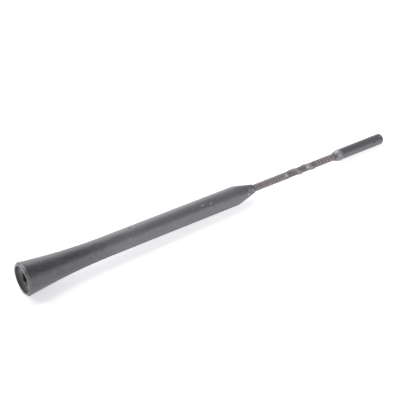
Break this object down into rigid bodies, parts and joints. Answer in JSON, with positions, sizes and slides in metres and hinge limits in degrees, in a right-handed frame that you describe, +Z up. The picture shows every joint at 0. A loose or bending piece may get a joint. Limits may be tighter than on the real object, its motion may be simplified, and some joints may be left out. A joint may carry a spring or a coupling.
{
  "type": "car mast aerial",
  "caption": "Short rubber car mast aerial with a flared recessed foot round a brass threaded hole, a wound whip in a ridged sleeve, and a rounded tip cap.",
  "frame": {"origin": "middle of the footprint, on the surface the mast lies on", "axes": "+X along the mast from its foot to its tip, +Z up, with the mast lying on the rim of its foot and on its cap"},
  "size_m": [0.2402, 0.0186, 0.0187],
  "materials": {
    "body_rubber": "fine matt moulded skin with a soft sheen and a grey bloom",
    "insert_brass": "turned brass, tarnished dark",
    "rod_fibreglass": "pulled fibreglass rod",
    "winding_copper": "enamelled copper wire",
    "sleeve_plastic": "shrunk sleeve, satin, rubbed paler on its ridges",
    "cap_plastic": "moulded, satin"
  },
  "bodies": {
    "root": {"mast_body": "body_rubber", "threaded_insert": "insert_brass", "core_rod": "rod_fibreglass", "antenna_winding": "winding_copper", "whip_sleeve": "sleeve_plastic", "tip_cap": "cap_plastic"}
  },
  "joints": []
}
